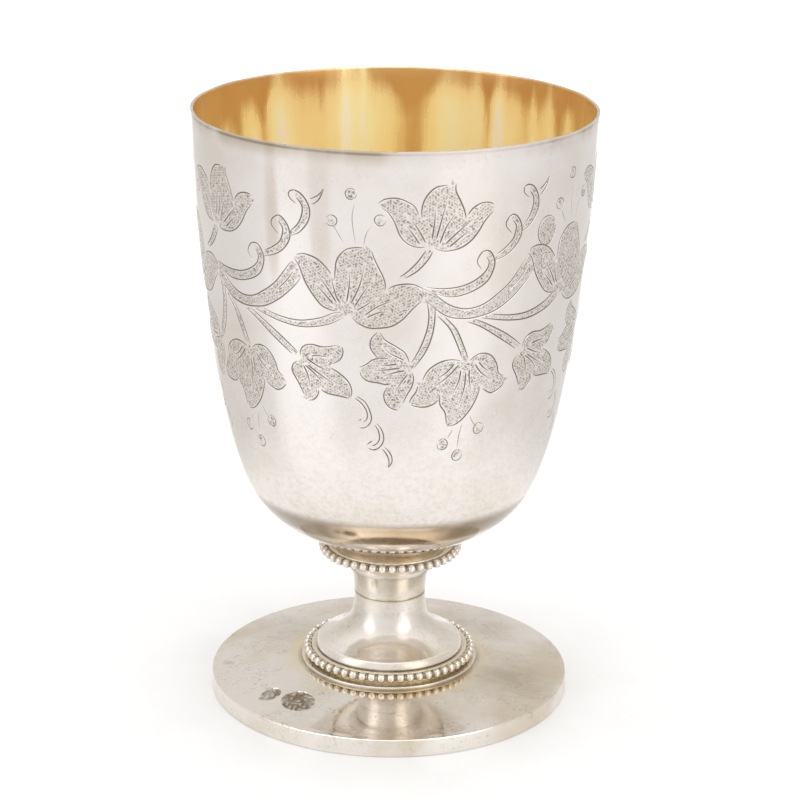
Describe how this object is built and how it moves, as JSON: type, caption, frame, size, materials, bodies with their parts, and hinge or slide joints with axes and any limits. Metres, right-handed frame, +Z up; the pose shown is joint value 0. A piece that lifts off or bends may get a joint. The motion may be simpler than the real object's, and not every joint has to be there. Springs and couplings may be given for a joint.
{
  "type": "chalice",
  "caption": "Silver goblet with a deep gilt-lined bowl, an engraved vine frieze, a short beaded stem and a domed round foot.",
  "frame": {"origin": "centre of the foot, at the level of the surface it stands on", "axes": "+Z up along the axis of the bowl and stem, -Y towards the side that the picture shows"},
  "size_m": [0.085, 0.085, 0.1301],
  "materials": {
    "silver": "polished silver with fine scratches and a light warm tarnish",
    "bowl_silver": "polished silver, engraved outside with a matted vine frieze, and bright yellow gilding inside",
    "bead_silver": "polished silver beads with dark tarnish between them"
  },
  "bodies": {
    "root": {"bowl": "bowl_silver", "upper_stem": "silver", "upper_bead_ring": "bead_silver", "lower_stem": "silver", "lower_bead_ring": "bead_silver", "base_ring": "silver", "foot": "silver"}
  },
  "joints": []
}
